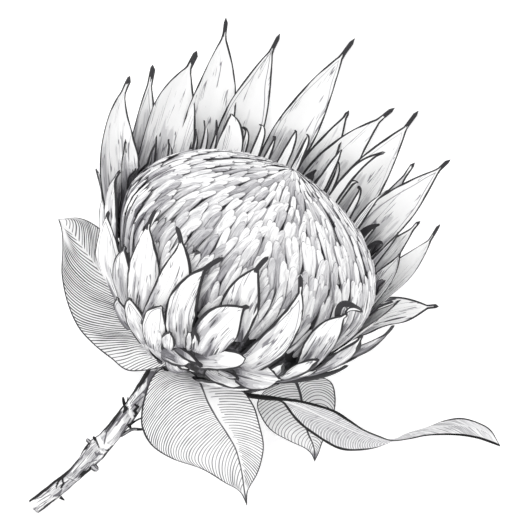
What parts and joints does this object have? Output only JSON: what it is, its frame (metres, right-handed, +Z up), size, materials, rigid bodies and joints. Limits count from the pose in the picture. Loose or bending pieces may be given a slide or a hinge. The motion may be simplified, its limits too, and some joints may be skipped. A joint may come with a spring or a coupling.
{
  "type": "protea",
  "caption": "Cut protea bloom lying on its side: pointed bracts round a dome of florets, on a woody stem with leathery leaves.",
  "frame": {"origin": "on the surface that the flower lies on, under the middle of its box", "axes": "+Z up; the head points between +Y and +X and rises a little, and the cut stem ends towards -X and -Y"},
  "size_m": [0.2376, 0.2503, 0.1424],
  "materials": {
    "stem": "rough hatched bark, drawn in grey ink",
    "bracts": "pale with grey streaks and charcoal tips",
    "florets": "pale, soft, dark between the florets",
    "leaf": "pale with fine dark veins"
  },
  "bodies": {
    "root": {"stem": "stem", "bracts": "bracts", "florets": "florets", "leaf_left": "leaf", "leaf_front": "leaf", "leaf_small": "leaf", "leaf_curled": "leaf"}
  },
  "joints": []
}
